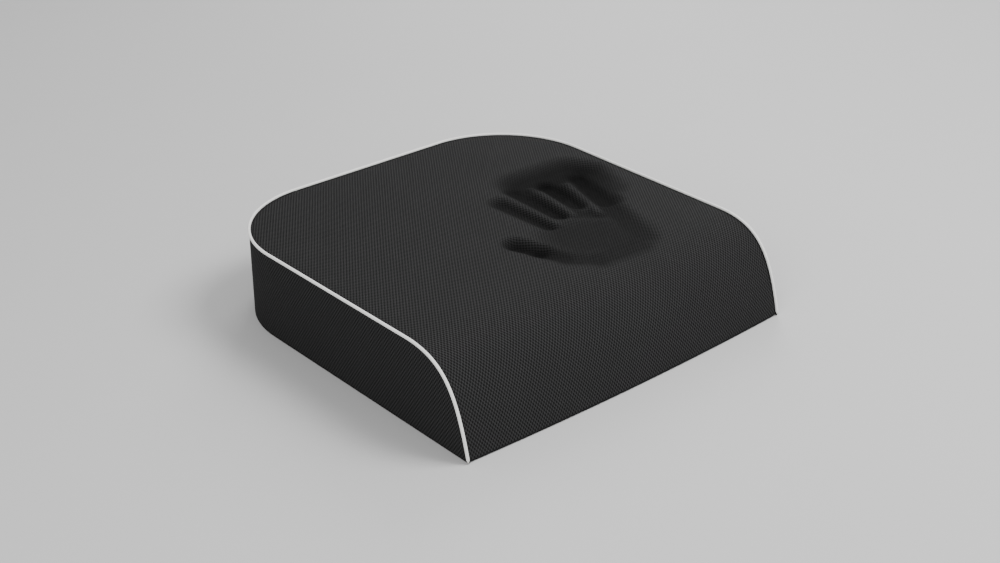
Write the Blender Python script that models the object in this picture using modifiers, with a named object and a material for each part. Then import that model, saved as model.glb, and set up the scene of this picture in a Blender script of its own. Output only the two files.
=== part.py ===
"""Waterfall seat cushion: a foam core in a liner, inside a zipped air-mesh cover with piping.

Units are metres, +Z is up. The origin is the centre of the underside. The front edge, which
curves down over the edge of a chair, faces -Y. The zip is in the back border, at +Y.
"""

import math

import bmesh
import bpy
from mathutils import Matrix, Vector

# ---------------------------------------------------------------- driving sizes
WIDTH = 0.450
DEPTH = 0.448
HEIGHT = 0.0995
CORNER_RADIUS = 0.120
SHOULDER_Y = -0.130
FRONT_LEAN_DEGREES = 76
FRONT_LEAN_REACH = 0.070
SHOULDER_REACH = 0.060

MESH_THICKNESS = 0.0025
BOTTOM_THICKNESS = 0.0020
GAP = 0.0003

PIPING_RADIUS = 0.0016
PIPING_CORD_RADIUS = 0.0009
PIPING_SLEEVE_WALL = 0.0004
PIPING_SINK = 0.0004
PIPING_SIDES = 8

CORE_INSET = 0.0054
LINER_THICKNESS = 0.0010
LINER_SLIT_WIDTH = 0.180
LINER_SLIT_HEIGHT = 0.003
BASE_FOAM_TOP = 0.048

CHAIN_HALF_LENGTH = 0.096
CHAIN_HEIGHT = 0.052
ROW_INNER = 0.0007
ROW_OUTER = 0.0030
SLOT_HALF = 0.0046
TAPE_HALF = 0.0150
TAPE_THICKNESS = 0.0006
TAPE_SPACE = 0.0056
STOP_LENGTH = 0.0030

SLIDER_START = 0.088
SLIDER_LENGTH = 0.0120
SLIDER_HALF_WIDTH = 0.0042
SLIDER_PLATE = 0.0008
SLIDER_POST = 0.0008
BRIDGE_WIRE = 0.0006
BRIDGE_REACH = 0.0032
BRIDGE_RISE = 0.0030
PULL_THICKNESS = 0.0010
PULL_LENGTH = 0.0260
PULL_HALF_WIDTH = 0.0032
PULL_NECK = 0.0060
PULL_ARM = 0.0011

LABEL_LENGTH = 0.030
LABEL_HEIGHT = 0.018
LABEL_THICKNESS = 0.0005
LABEL_BOTTOM = 0.010

CORNER_STEPS = 12
FRONT_STEPS = 14
PAST = 0.02  # how far a cutter runs past what it cuts

# ---------------------------------------------------------------- worked-out planes
HALF_WIDTH = WIDTH / 2
HALF_DEPTH = DEPTH / 2
STRAIGHT_BACK = HALF_WIDTH - CORNER_RADIUS
BORDER_BOTTOM = BOTTOM_THICKNESS + GAP
PIPING_START = BORDER_BOTTOM + 0.0005
NOTCH = MESH_THICKNESS + 0.0001
TAPE_OUTSIDE = HALF_DEPTH - MESH_THICKNESS - GAP
TAPE_INSIDE = TAPE_OUTSIDE - TAPE_THICKNESS
ROW_OUTSIDE = HALF_DEPTH - 0.0005
SLIDER_FACE = HALF_DEPTH + GAP + SLIDER_PLATE
HINGE_Y = SLIDER_FACE + (BRIDGE_RISE - BRIDGE_WIRE) / 2

# ---------------------------------------------------------------- materials
MATERIALS = {
    "black_air_mesh": ((0.012, 0.012, 0.013), 0.85, 0.0),
    "grip_fabric": ((0.020, 0.020, 0.022), 0.80, 0.0),
    "white_piping": ((0.78, 0.78, 0.76), 0.60, 0.0),
    "cotton_cord": ((0.70, 0.67, 0.60), 0.90, 0.0),
    "liner_jersey": ((0.045, 0.045, 0.048), 0.90, 0.0),
    "memory_foam": ((0.80, 0.72, 0.50), 0.90, 0.0),
    "support_foam": ((0.30, 0.33, 0.38), 0.90, 0.0),
    "zip_tape": ((0.014, 0.014, 0.015), 0.80, 0.0),
    "zip_nylon": ((0.018, 0.018, 0.020), 0.45, 0.0),
    "zip_metal": ((0.10, 0.10, 0.11), 0.35, 0.9),
    "label_satin": ((0.80, 0.80, 0.78), 0.50, 0.0),
}


def make_material(name):
    """A Principled material from the table above."""
    colour, roughness, metallic = MATERIALS[name]
    material = bpy.data.materials.new(name)
    material.use_nodes = True
    shader = material.node_tree.nodes["Principled BSDF"]
    shader.inputs["Base Color"].default_value = (*colour, 1.0)
    shader.inputs["Roughness"].default_value = roughness
    shader.inputs["Metallic"].default_value = metallic
    return material


# ---------------------------------------------------------------- outlines
def corner_arc(side, inset):
    """Points round one back corner, from the side (side -1 left, 1 right) to the back."""
    radius = CORNER_RADIUS - inset
    points = []
    for step in range(CORNER_STEPS + 1):
        angle = math.radians(90) * step / CORNER_STEPS
        x = side * (STRAIGHT_BACK + radius * math.cos(angle))
        y = HALF_DEPTH - CORNER_RADIUS + radius * math.sin(angle)
        points.append((x, y))
    return points


def plan_path(inset):
    """The plan's edge moved in by inset: from the front-left, round the back, to the front-right."""
    left, right = corner_arc(-1, inset), corner_arc(1, inset)
    front = -HALF_DEPTH - PAST
    return [(-HALF_WIDTH + inset, front), *left, *right[::-1], (HALF_WIDTH - inset, front)]


def front_curve(inset):
    """The waterfall front's points (y, z), from the bottom edge up to the flat top, moved in by inset."""
    lean = math.radians(FRONT_LEAN_DEGREES)
    start, end = Vector((-HALF_DEPTH, 0)), Vector((SHOULDER_Y, HEIGHT))
    first = start + FRONT_LEAN_REACH * Vector((math.cos(lean), math.sin(lean)))
    second = end - Vector((SHOULDER_REACH, 0))
    points = []
    for step in range(FRONT_STEPS + 1):
        t = step / FRONT_STEPS
        place = (
            (1 - t) ** 3 * start + 3 * t * (1 - t) ** 2 * first
            + 3 * t**2 * (1 - t) * second + t**3 * end
        )
        slope = (
            (1 - t) ** 2 * (first - start) + 2 * t * (1 - t) * (second - first)
            + t**2 * (end - second)
        ).normalized()
        points.append((place.x + inset * slope.y, place.y - inset * slope.x))
    return points


def profile_outline(inset, lowest, back):
    """The closed side view (y, z) under the front curve moved in by inset."""
    curve = front_curve(inset)
    return [(back, lowest), (curve[0][0], lowest), *curve, (back, curve[-1][1])]


# ---------------------------------------------------------------- shape helpers
def collection(name):
    """A new collection in the scene."""
    made = bpy.data.collections.new(name)
    bpy.context.scene.collection.children.link(made)
    return made


def clear_scene():
    """Starts from an empty scene."""
    for old in list(bpy.data.objects):
        bpy.data.objects.remove(old)


def prism(name, outline, axis, low, high):
    """A flat outline extruded along Z, in (x, y), or along X, in (y, z), as a mesh object."""
    curve = bpy.data.curves.new(name, "CURVE")
    curve.dimensions = "2D"
    curve.fill_mode = "BOTH"
    curve.extrude = (high - low) / 2
    spline = curve.splines.new("POLY")
    spline.points.add(len(outline) - 1)
    for point, (a, b) in zip(spline.points, outline):
        point.co = (a, b, 0, 1)
    spline.use_cyclic_u = True
    guide = bpy.data.objects.new(name + "_outline", curve)
    bpy.context.scene.collection.objects.link(guide)
    if axis == "X":
        guide.location = ((low + high) / 2, 0, 0)
        guide.rotation_euler = (math.radians(90), 0, math.radians(90))
    else:
        guide.location = (0, 0, (low + high) / 2)
    return mesh_from(guide, name)


def mesh_from(guide, name):
    """Turns a curve object into a closed mesh object in world space, and removes the curve."""
    bpy.context.view_layer.update()
    evaluated = guide.evaluated_get(bpy.context.evaluated_depsgraph_get())
    data = bpy.data.meshes.new_from_object(evaluated)
    data.transform(guide.matrix_world)
    shape = bmesh.new()
    shape.from_mesh(data)
    bmesh.ops.remove_doubles(shape, verts=shape.verts, dist=1e-6)
    bmesh.ops.recalc_face_normals(shape, faces=shape.faces)
    shape.to_mesh(data)
    shape.free()
    bpy.data.objects.remove(guide)
    data.name = name
    made = bpy.data.objects.new(name, data)
    bpy.context.scene.collection.objects.link(made)
    return made


def box(name, low, high):
    """A cuboid between two corners."""
    size = Vector(high) - Vector(low)
    bpy.ops.mesh.primitive_cube_add(size=1, location=(Vector(low) + Vector(high)) / 2)
    made = bpy.context.object
    made.name = name
    made.scale = size
    bpy.ops.object.transform_apply(location=False, rotation=False, scale=True)
    return made


def move_origin(piece, place):
    """Puts a piece's origin at a place, such as its hinge, and leaves its shape where it is."""
    piece.data.transform(Matrix.Translation(piece.location - Vector(place)))
    piece.location = place


def combine(target, other, operation):
    """Cuts, joins or keeps what target shares with another mesh, which becomes a hidden cutter."""
    modifier = target.modifiers.new(operation.title(), "BOOLEAN")
    modifier.operation = operation
    modifier.solver = "EXACT"
    modifier.object = other
    other.hide_render = True
    other.display_type = "WIRE"
    for holder in list(other.users_collection):
        holder.objects.unlink(other)
    cutters.objects.link(other)
    return target


def finish(piece, material, smooth_degrees=None):
    """Gives a piece its material and puts it in the cushion's collection."""
    piece.data.materials.clear()
    piece.data.materials.append(material)
    if smooth_degrees:
        piece.data.shade_smooth()
        piece.data.set_sharp_from_angle(angle=math.radians(smooth_degrees))
    for holder in list(piece.users_collection):
        holder.objects.unlink(piece)
    cushion.objects.link(piece)
    return piece


def tube(name, points, radius, sides):
    """A round cord along points, with filled caps; sides is a multiple of 4."""
    curve = bpy.data.curves.new(name, "CURVE")
    curve.dimensions = "3D"
    curve.bevel_depth = radius
    curve.bevel_resolution = sides // 4
    curve.use_fill_caps = True
    spline = curve.splines.new("POLY")
    spline.points.add(len(points) - 1)
    for point, place in zip(spline.points, points):
        point.co = (*place, 1)
    made = bpy.data.objects.new(name, curve)
    bpy.context.scene.collection.objects.link(made)
    return made


# ---------------------------------------------------------------- cover panels
def make_top_panel(mesh):
    """One sheet of air mesh: the flat top and the front that curves down to the bottom seam."""
    outer, inner = front_curve(0), front_curve(MESH_THICKNESS)
    band = [
        (outer[0][0], BORDER_BOTTOM), *outer[1:], (HALF_DEPTH, HEIGHT),
        (HALF_DEPTH, HEIGHT - MESH_THICKNESS), *inner[:0:-1], (inner[0][0], BORDER_BOTTOM),
    ]
    panel = prism("top_panel", band, "X", -HALF_WIDTH, HALF_WIDTH)
    plan = prism("top_panel_plan", plan_path(NOTCH), "Z", -PAST, HEIGHT + PAST)
    return finish(combine(panel, plan, "INTERSECT"), mesh, 30)


def make_side_panel(side, mesh):
    """The border from the front corner along one side and round the back corner to the zip panel."""
    name = "left_side_panel" if side < 0 else "right_side_panel"
    seam = (side * (STRAIGHT_BACK + GAP / 2), 0)
    outside, inside = corner_arc(side, 0), corner_arc(side, MESH_THICKNESS)
    outside[-1] = (seam[0], outside[-1][1])
    inside[-1] = (seam[0], inside[-1][1])
    front = -HALF_DEPTH - PAST
    path = [
        (side * HALF_WIDTH, front), *outside, *inside[::-1],
        (side * (HALF_WIDTH - MESH_THICKNESS), front),
    ]
    panel = prism(name, path, "Z", BORDER_BOTTOM, HEIGHT + PAST)
    under = profile_outline(NOTCH, -PAST, HALF_DEPTH + PAST)
    profile = prism(name + "_profile", under, "X", -HALF_WIDTH - PAST, HALF_WIDTH + PAST)
    return finish(combine(panel, profile, "INTERSECT"), mesh, 30)


def make_zip_panel(name, low, high, mesh):
    """One of the two straight strips that the zip is sewn between."""
    reach = STRAIGHT_BACK - GAP / 2
    corner = (-reach, HALF_DEPTH - MESH_THICKNESS, low)
    return finish(box(name, corner, (reach, HALF_DEPTH, high)), mesh)


def make_bottom_panel(fabric):
    """The flat underside, which carries the grip dots."""
    path = [(x, max(y, -HALF_DEPTH)) for x, y in plan_path(0)]
    return finish(prism("bottom_panel", path, "Z", 0, BOTTOM_THICKNESS), fabric)


# ---------------------------------------------------------------- piping
def piping_route():
    """The piping's centreline: up the left of the front, round the back and down on the right."""
    rise = front_curve(PIPING_SINK)
    rise[0] = (rise[0][0], PIPING_START)
    left = [(-HALF_WIDTH + PIPING_SINK, y, z) for y, z in rise]
    round_back = [(x, y, HEIGHT - PIPING_SINK) for x, y in plan_path(PIPING_SINK)[1:-1]]
    right = [(-x, y, z) for x, y, z in left[::-1]]
    return left + round_back + right


def make_piping(sleeve_fabric, cord_fabric):
    """A filler cord and the fabric sleeve round it, both open at the two front corners."""
    route = piping_route()
    cord = tube("piping_cord", route, PIPING_CORD_RADIUS, PIPING_SIDES)
    finish(mesh_from(cord, "piping_cord"), cord_fabric, 50)
    guide = tube("piping_sleeve", route, PIPING_RADIUS, PIPING_SIDES)
    guide.data.use_fill_caps = False
    sleeve = mesh_from(guide, "piping_sleeve")
    wall = sleeve.modifiers.new("Wall", "SOLIDIFY")
    wall.thickness = PIPING_SLEEVE_WALL
    wall.offset = -1
    wall.use_rim = True
    finish(sleeve, sleeve_fabric, 50)


# ---------------------------------------------------------------- core
def core_block(name, inset, low, high):
    """The core's shape moved in by inset from the cover's outside, between two heights."""
    block = prism(name, plan_path(inset), "Z", low, high)
    under = profile_outline(inset, -PAST, HALF_DEPTH + PAST)
    profile = prism(name + "_profile", under, "X", -HALF_WIDTH - PAST, HALF_WIDTH + PAST)
    return combine(block, profile, "INTERSECT")


def make_core(jersey, memory_foam, support_foam):
    """The liner sock, with its stuffing slit at the back, and the two bonded foam layers in it."""
    low = BORDER_BOTTOM
    liner = core_block("inner_liner", CORE_INSET, low, HEIGHT)
    foam_inset = CORE_INSET + LINER_THICKNESS
    hollow = core_block("liner_hollow", foam_inset, low + LINER_THICKNESS, HEIGHT)
    combine(liner, hollow, "DIFFERENCE")
    slit_reach = LINER_SLIT_WIDTH / 2
    slit_low = BASE_FOAM_TOP - LINER_SLIT_HEIGHT / 2
    slit = box(
        "liner_slit", (-slit_reach, HALF_DEPTH - 2 * foam_inset, slit_low),
        (slit_reach, HALF_DEPTH, slit_low + LINER_SLIT_HEIGHT),
    )
    combine(liner, slit, "DIFFERENCE")
    finish(liner, jersey, 30)
    foam_low = low + LINER_THICKNESS + GAP
    base = core_block("foam_base_layer", foam_inset + GAP, foam_low, BASE_FOAM_TOP - GAP / 2)
    finish(base, support_foam, 30)
    top = core_block("foam_top_layer", foam_inset + GAP, BASE_FOAM_TOP + GAP / 2, HEIGHT)
    finish(top, memory_foam, 30)


# ---------------------------------------------------------------- zip
def make_zip_side(side, name, tape_fabric, nylon, metal):
    """The tape, coil row and end stop on one side of the chain; side is 1 above and -1 below."""

    def level(near, far):
        return sorted((CHAIN_HEIGHT + side * near, CHAIN_HEIGHT + side * far))

    reach = CHAIN_HALF_LENGTH
    tape_low, tape_high = level(ROW_INNER, TAPE_HALF)
    tape_end = reach + STOP_LENGTH + TAPE_SPACE
    finish(box(
        "zipper_tape_" + name, (-tape_end, TAPE_INSIDE, tape_low), (tape_end, TAPE_OUTSIDE, tape_high),
    ), tape_fabric)
    row_low, row_high = level(ROW_INNER, ROW_OUTER)
    coil = box(
        "zipper_coil_" + name, (-reach, TAPE_OUTSIDE + GAP, row_low), (reach, ROW_OUTSIDE, row_high),
    )
    edge = coil.modifiers.new("Edge", "BEVEL")
    edge.width = 0.0005
    edge.segments = 1
    finish(coil, nylon)
    stop_x = reach + GAP
    finish(box(
        "zipper_top_stop_" + name, (stop_x, TAPE_OUTSIDE + GAP, row_low),
        (stop_x + STOP_LENGTH, ROW_OUTSIDE, row_high),
    ), metal)


def make_bottom_stop(metal):
    """The stop that holds both rows together at the far end of the travel."""
    stop_x = -CHAIN_HALF_LENGTH - GAP
    finish(box(
        "zipper_bottom_stop", (stop_x - STOP_LENGTH, TAPE_OUTSIDE + GAP, CHAIN_HEIGHT - ROW_OUTER),
        (stop_x, ROW_OUTSIDE, CHAIN_HEIGHT + ROW_OUTER),
    ), metal)


def make_slider(metal):
    """Two plates round the chain, held by a post, with curled-in edges and a bridge for the pull."""
    x_low, x_high = SLIDER_START - SLIDER_LENGTH / 2, SLIDER_START + SLIDER_LENGTH / 2
    half = SLIDER_HALF_WIDTH
    inside_face = TAPE_INSIDE - GAP
    body = box(
        "zipper_slider", (x_low, SLIDER_FACE - SLIDER_PLATE, CHAIN_HEIGHT - half),
        (x_high, SLIDER_FACE, CHAIN_HEIGHT + half),
    )
    back_plate = box(
        "slider_back_plate", (x_low, inside_face - SLIDER_PLATE, CHAIN_HEIGHT - half),
        (x_high, inside_face, CHAIN_HEIGHT + half),
    )
    combine(body, back_plate, "UNION")
    post_reach, post_half = 0.002, SLIDER_POST / 2
    post = box(
        "slider_post",
        (SLIDER_START - post_reach, inside_face - SLIDER_PLATE / 2, CHAIN_HEIGHT - post_half),
        (SLIDER_START + post_reach, SLIDER_FACE - SLIDER_PLATE / 2, CHAIN_HEIGHT + post_half),
    )
    combine(body, post, "UNION")
    for side in (-1, 1):
        edge_low, edge_high = sorted((
            CHAIN_HEIGHT + side * (ROW_OUTER + GAP), CHAIN_HEIGHT + side * (half - 0.0001),
        ))
        flange = box(
            f"slider_flange_{side}", (x_low + 0.0001, TAPE_OUTSIDE + GAP, edge_low),
            (x_high - 0.0001, SLIDER_FACE - SLIDER_PLATE / 2, edge_high),
        )
        combine(body, flange, "UNION")
    foot = SLIDER_FACE - SLIDER_PLATE / 2
    arch = [
        (SLIDER_START - BRIDGE_REACH, foot, CHAIN_HEIGHT),
        (SLIDER_START - BRIDGE_REACH, SLIDER_FACE + BRIDGE_RISE * 0.5, CHAIN_HEIGHT),
        (SLIDER_START - BRIDGE_REACH * 0.6, SLIDER_FACE + BRIDGE_RISE, CHAIN_HEIGHT),
        (SLIDER_START + BRIDGE_REACH * 0.6, SLIDER_FACE + BRIDGE_RISE, CHAIN_HEIGHT),
        (SLIDER_START + BRIDGE_REACH, SLIDER_FACE + BRIDGE_RISE * 0.5, CHAIN_HEIGHT),
        (SLIDER_START + BRIDGE_REACH, foot, CHAIN_HEIGHT),
    ]
    bridge = mesh_from(tube("slider_bridge", arch, BRIDGE_WIRE, PIPING_SIDES), "slider_bridge")
    combine(body, bridge, "UNION")
    finish(body, metal)


def make_pull(metal):
    """The pull tab: a plate along the chain with a window, whose end bar sits under the bridge."""
    half, thin = PULL_HALF_WIDTH, PULL_THICKNESS / 2
    plate = box(
        "zipper_pull", (SLIDER_START - PULL_LENGTH, HINGE_Y - thin, CHAIN_HEIGHT - half),
        (SLIDER_START + thin, HINGE_Y + thin, CHAIN_HEIGHT + half),
    )
    window_half = half - PULL_ARM
    window = box(
        "pull_window", (SLIDER_START - PULL_NECK, HINGE_Y - PAST, CHAIN_HEIGHT - window_half),
        (SLIDER_START - thin, HINGE_Y + PAST, CHAIN_HEIGHT + window_half),
    )
    combine(plate, window, "DIFFERENCE")
    move_origin(plate, (SLIDER_START, HINGE_Y, CHAIN_HEIGHT))
    finish(plate, metal)


# ---------------------------------------------------------------- label
def make_label(satin):
    """A blank care label, sewn in the seam beside the zip panel and lying on the lower strip."""
    seam = STRAIGHT_BACK
    face = HALF_DEPTH + GAP
    label = box(
        "care_label", (seam - LABEL_LENGTH, face, LABEL_BOTTOM),
        (seam, face + LABEL_THICKNESS, LABEL_BOTTOM + LABEL_HEIGHT),
    )
    move_origin(label, (seam, face + LABEL_THICKNESS / 2, LABEL_BOTTOM + LABEL_HEIGHT / 2))
    finish(label, satin)


# ---------------------------------------------------------------- assembly
clear_scene()
cushion = collection("seat_cushion")
cutters = collection("cutters")
looks = {name: make_material(name) for name in MATERIALS}

make_top_panel(looks["black_air_mesh"])
make_side_panel(-1, looks["black_air_mesh"])
make_side_panel(1, looks["black_air_mesh"])
make_zip_panel("back_strip_upper", CHAIN_HEIGHT + SLOT_HALF, HEIGHT - NOTCH, looks["black_air_mesh"])
make_zip_panel("back_strip_lower", BORDER_BOTTOM, CHAIN_HEIGHT - SLOT_HALF, looks["black_air_mesh"])
make_bottom_panel(looks["grip_fabric"])
make_piping(looks["white_piping"], looks["cotton_cord"])
make_core(looks["liner_jersey"], looks["memory_foam"], looks["support_foam"])
for zip_side, zip_name in ((1, "upper"), (-1, "lower")):
    make_zip_side(zip_side, zip_name, looks["zip_tape"], looks["zip_nylon"], looks["zip_metal"])
make_bottom_stop(looks["zip_metal"])
make_slider(looks["zip_metal"])
make_pull(looks["zip_metal"])
make_label(looks["label_satin"])
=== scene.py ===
"""The looks of a waterfall seat cushion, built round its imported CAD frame.

Metres, +Z up. The front edge, which curves down, faces -Y; the zip is at the back, at +Y.
Every panel of the cover is a grid of points on one shared skin, so that neighbouring panels
meet at the same seams. The panels are blown out between their seams by a cloth simulation.
"""

import math

import bmesh
import bpy
import numpy as np
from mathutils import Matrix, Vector


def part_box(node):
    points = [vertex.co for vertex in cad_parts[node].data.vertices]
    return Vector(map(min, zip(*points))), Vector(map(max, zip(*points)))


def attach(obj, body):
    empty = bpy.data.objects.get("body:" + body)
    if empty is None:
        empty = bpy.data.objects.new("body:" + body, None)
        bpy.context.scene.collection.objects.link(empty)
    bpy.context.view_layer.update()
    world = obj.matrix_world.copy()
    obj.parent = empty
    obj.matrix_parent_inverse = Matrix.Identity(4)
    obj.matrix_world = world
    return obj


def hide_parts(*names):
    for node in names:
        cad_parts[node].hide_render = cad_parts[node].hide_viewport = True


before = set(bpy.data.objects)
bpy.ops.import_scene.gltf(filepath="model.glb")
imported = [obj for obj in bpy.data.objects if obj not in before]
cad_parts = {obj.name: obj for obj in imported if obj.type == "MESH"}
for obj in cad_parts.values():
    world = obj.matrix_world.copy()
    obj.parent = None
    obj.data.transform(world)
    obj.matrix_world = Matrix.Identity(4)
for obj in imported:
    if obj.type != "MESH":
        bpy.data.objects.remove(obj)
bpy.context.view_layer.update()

# ---------------------------------------------------------------- sizes from the frame
bottom_low, bottom_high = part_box("bottom_panel")
HALF_WIDTH = bottom_high[0]
HALF_DEPTH = bottom_high[1]
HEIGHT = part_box("top_panel")[1][2]
STRIP_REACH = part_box("back_strip_upper")[1][0]
CORNER_RADIUS = HALF_WIDTH - STRIP_REACH
CORNER_Y = HALF_DEPTH - CORNER_RADIUS
SLOT_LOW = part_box("back_strip_lower")[1][2]
SLOT_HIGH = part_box("back_strip_upper")[0][2]
CHAIN_Z = (SLOT_LOW + SLOT_HIGH) / 2

# ---------------------------------------------------------------- sizes of the looks
SEAM_Z = 0.0016  # height of the seam round the underside
SHOULDER_Y = -0.130  # where the flat top begins to curve down to the front
BOTTOM_LEAN = math.radians(76)  # slope of the front where it meets the underside
BOTTOM_PULL = 0.070  # how far that slope carries up
SHOULDER_PULL = 0.060  # how far the flat carries forward
FRONT_BOW = 0.006  # how far the middle of the front's lower edge stands forward

FABRIC = 0.0022
TUCK = 0.0014  # how far the panels' edges go in under the piping
PIPING_RADIUS = 0.0016
MESH_ACROSS = 0.00376  # the holes' spacing along a row; the next row is staggered by half of it
MESH_ALONG = 0.00522  # twice the spacing of the rows
SIM_SPACING = 0.006
PRINT_DEPTH = 0.0100
CLEARANCE = 0.0003  # between pieces that lie on each other
CROWN_CAP = 0.0045  # no point of a panel is blown out further than this
HEM_DROP = 0.0006  # how far the panels reach below the bottom seam
FILLER_RADIUS = 0.0009
SLIDER_PLATE = 0.0008
STITCH_LENGTH = 0.0026
STITCH_PITCH = 0.0032

# ---------------------------------------------------------------- sizes of the view
CAMERA_AZIMUTH = math.radians(-41.01)
CAMERA_ELEVATION = math.radians(27.2)
CAMERA_DISTANCE = 1.789
CAMERA_TARGET = Vector((0, 0, 0.04))
LAMP_TARGET = (0, 0, 0.05)
FLOOR_REACH = 8

# The hand print. Each stroke is a soft-edged capsule on the top: its two (x, y) ends, its radius,
# its soft edge, and its share of the full depth at each end.
# The same share darkens the top's colour: painted shade in the print.
PRINT_DENTS = {
    "little finger": ((0.1690, 0.0420), (0.1430, -0.0300), 0.0040, 0.0220, 1.00, 0.78),
    "beside the little finger": ((0.1830, 0.0470), (0.1640, -0.0030), 0.0070, 0.0280, 0.75, 0.40),
    "ring finger": ((0.1240, 0.0480), (0.1130, -0.0150), 0.0035, 0.0200, 1.00, 0.72),
    "middle finger": ((0.0815, 0.0560), (0.0785, -0.0230), 0.0030, 0.0180, 0.74, 0.70),
    "index finger": ((0.0445, 0.0380), (0.0490, -0.0380), 0.0025, 0.0160, 0.55, 0.58),
    "thumb": ((-0.0120, -0.0500), (-0.0010, -0.0780), 0.0025, 0.0160, 0.75, 0.72),
    "root of the thumb": ((-0.0010, -0.0780), (0.0090, -0.1080), 0.0030, 0.0180, 0.72, 0.40),
    "ball of the thumb": ((0.0090, -0.1100), (0.0330, -0.1310), 0.0050, 0.0180, 0.36, 0.30),
    "heel of the hand": ((0.0330, -0.1310), (0.0900, -0.1340), 0.0060, 0.0160, 0.30, 0.28),
    "knuckles": ((0.0930, -0.0330), (0.1130, -0.0520), 0.0030, 0.0220, 0.40, 0.42),
    "outer edge of the hand": ((0.1320, -0.0480), (0.1070, -0.1250), 0.0040, 0.0200, 0.50, 0.30),
    # A shallow sag beyond the fingertips that also carries painted shadow there.
    "sag and painted shadow past the fingertips": ((0.1000, 0.0600), (0.1720, 0.0580), 0.0100, 0.0300, 0.62, 0.72),
    "palm": ((0.0560, -0.0850), (0.0850, -0.0980), 0.0240, 0.0360, 0.28, 0.30),
}
PRINT_RIDGES = {
    "between little and ring": ((0.1390, 0.0300), (0.1160, -0.0470), 0.0010, 0.0080, 0.45, 0.90),
    "between ring and middle": ((0.1020, 0.0500), (0.0885, -0.0330), 0.0010, 0.0080, 0.50, 0.90),
    "between middle and index": ((0.0590, 0.0500), (0.0580, -0.0410), 0.0010, 0.0070, 0.60, 0.90),
}


def smoothstep(t):
    """The usual soft ramp from 0 to 1."""
    t = np.clip(t, 0.0, 1.0)
    return t * t * (3 - 2 * t)


def strokes(capsules, x, y):
    """The blended height of soft-edged capsules at points."""
    total = np.zeros_like(x)
    for (ax, ay), (bx, by), radius, edge, start, end in capsules.values():
        length2 = (bx - ax) ** 2 + (by - ay) ** 2
        along = np.clip(((x - ax) * (bx - ax) + (y - ay) * (by - ay)) / length2, 0.0, 1.0)
        away = np.hypot(x - ax - along * (bx - ax), y - ay - along * (by - ay))
        share = (start + (end - start) * along) * (1 - smoothstep((away - radius) / edge))
        total = total + share ** 4
    return total ** 0.25


def print_share(x, y):
    """How deep the hand print is at points of the top, from 0 to 1."""
    return strokes(PRINT_DENTS, x, y) * (1 - strokes(PRINT_RIDGES, x, y))


# ---------------------------------------------------------------- the shared skin
def front_curve(inset, spacing):
    """Points (y, z, length) up the waterfall front, from the bottom seam to the flat top."""
    start = Vector((-HALF_DEPTH + 0.0002, SEAM_Z))
    lean = Vector((math.cos(BOTTOM_LEAN), math.sin(BOTTOM_LEAN)))
    top = Vector((SHOULDER_Y, HEIGHT))
    handles = [start, start + BOTTOM_PULL * lean, top - Vector((SHOULDER_PULL, 0)), top]
    fine = np.linspace(0, 1, 400)[:, None]
    weights = [(1 - fine) ** 3, 3 * fine * (1 - fine) ** 2, 3 * fine**2 * (1 - fine), fine**3]
    points = sum(w * np.array(h)[None, :] for w, h in zip(weights, handles))
    slope = np.gradient(points, axis=0)
    slope /= np.linalg.norm(slope, axis=1)[:, None]
    points = points + inset * np.stack([slope[:, 1], -slope[:, 0]], axis=1)
    length = np.concatenate([[0], np.cumsum(np.linalg.norm(np.diff(points, axis=0), axis=1))])
    count = round(length[-1] / spacing)
    at = np.linspace(0, length[-1], count + 1)
    return np.stack([np.interp(at, length, points[:, 0]), np.interp(at, length, points[:, 1]), at], axis=1)


def skin_rows(inset, spacing=SIM_SPACING):
    """Rows across the top, front seam to back edge, as (y, z, half width, length along the top)."""
    front = front_curve(inset, spacing)
    rows = [(y, z, HALF_WIDTH - inset, s) for y, z, s in front]
    flat_z = HEIGHT - inset
    flat = CORNER_Y - SHOULDER_Y
    for step in range(1, round(flat / spacing) + 1):
        run = flat * step / round(flat / spacing)
        rows.append((SHOULDER_Y + run, flat_z, HALF_WIDTH - inset, front[-1][2] + run))
    radius = CORNER_RADIUS - inset
    turns = round(radius * math.pi / 2 / spacing)
    base = rows[-1][3]
    for step in range(1, turns + 1):
        angle = math.pi / 2 * step / turns
        across = STRIP_REACH + radius * math.cos(angle)
        rows.append((CORNER_Y + radius * math.sin(angle), flat_z, across, base + radius * math.sin(angle)))
    return np.array(rows)


def bow(x, y, z):
    """The points' y, with the front's lower edge bowed forward in its middle."""
    near = smoothstep((SHOULDER_Y - y) / (HALF_DEPTH + SHOULDER_Y))
    share = (1 - (x / HALF_WIDTH) ** 2) * np.clip(1 - z / HEIGHT, 0, 1) * near
    return y - FRONT_BOW * share


def edge_distance(x, y, inset):
    """How far points lie inside the plan's side and back edges."""
    corner = np.hypot(np.maximum(np.abs(x) - STRIP_REACH, 0), np.maximum(y - CORNER_Y, 0))
    corner = CORNER_RADIUS - inset - corner
    return np.minimum(np.minimum(HALF_WIDTH - inset - np.abs(x), HALF_DEPTH - inset - y), corner)


# ---------------------------------------------------------------- mesh helpers
def new_object(name, data):
    """An object in the scene for a mesh or curve."""
    made = bpy.data.objects.new(name, data)
    bpy.context.scene.collection.objects.link(made)
    return made


def mesh_object(name, points, faces):
    """A mesh object from an array of points and a list of faces."""
    data = bpy.data.meshes.new(name)
    data.from_pydata([tuple(map(float, p)) for p in points], [], [tuple(map(int, f)) for f in faces])
    data.update()
    return new_object(name, data)


def set_uv(piece, uv):
    """Gives each vertex's (u, v), in metres, to its corners."""
    data = piece.data
    layer = data.uv_layers.new(name="cloth")
    corners = np.empty(len(data.loops), dtype=np.int32)
    data.loops.foreach_get("vertex_index", corners)
    layer.data.foreach_set("uv", np.asarray(uv, dtype=np.float32)[corners].ravel())


def grid_quads(index):
    """The faces of a grid of point numbers."""
    corners = [index[:-1, :-1], index[:-1, 1:], index[1:, 1:], index[1:, :-1]]
    return np.stack(corners, axis=-1).reshape(-1, 4)


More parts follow.
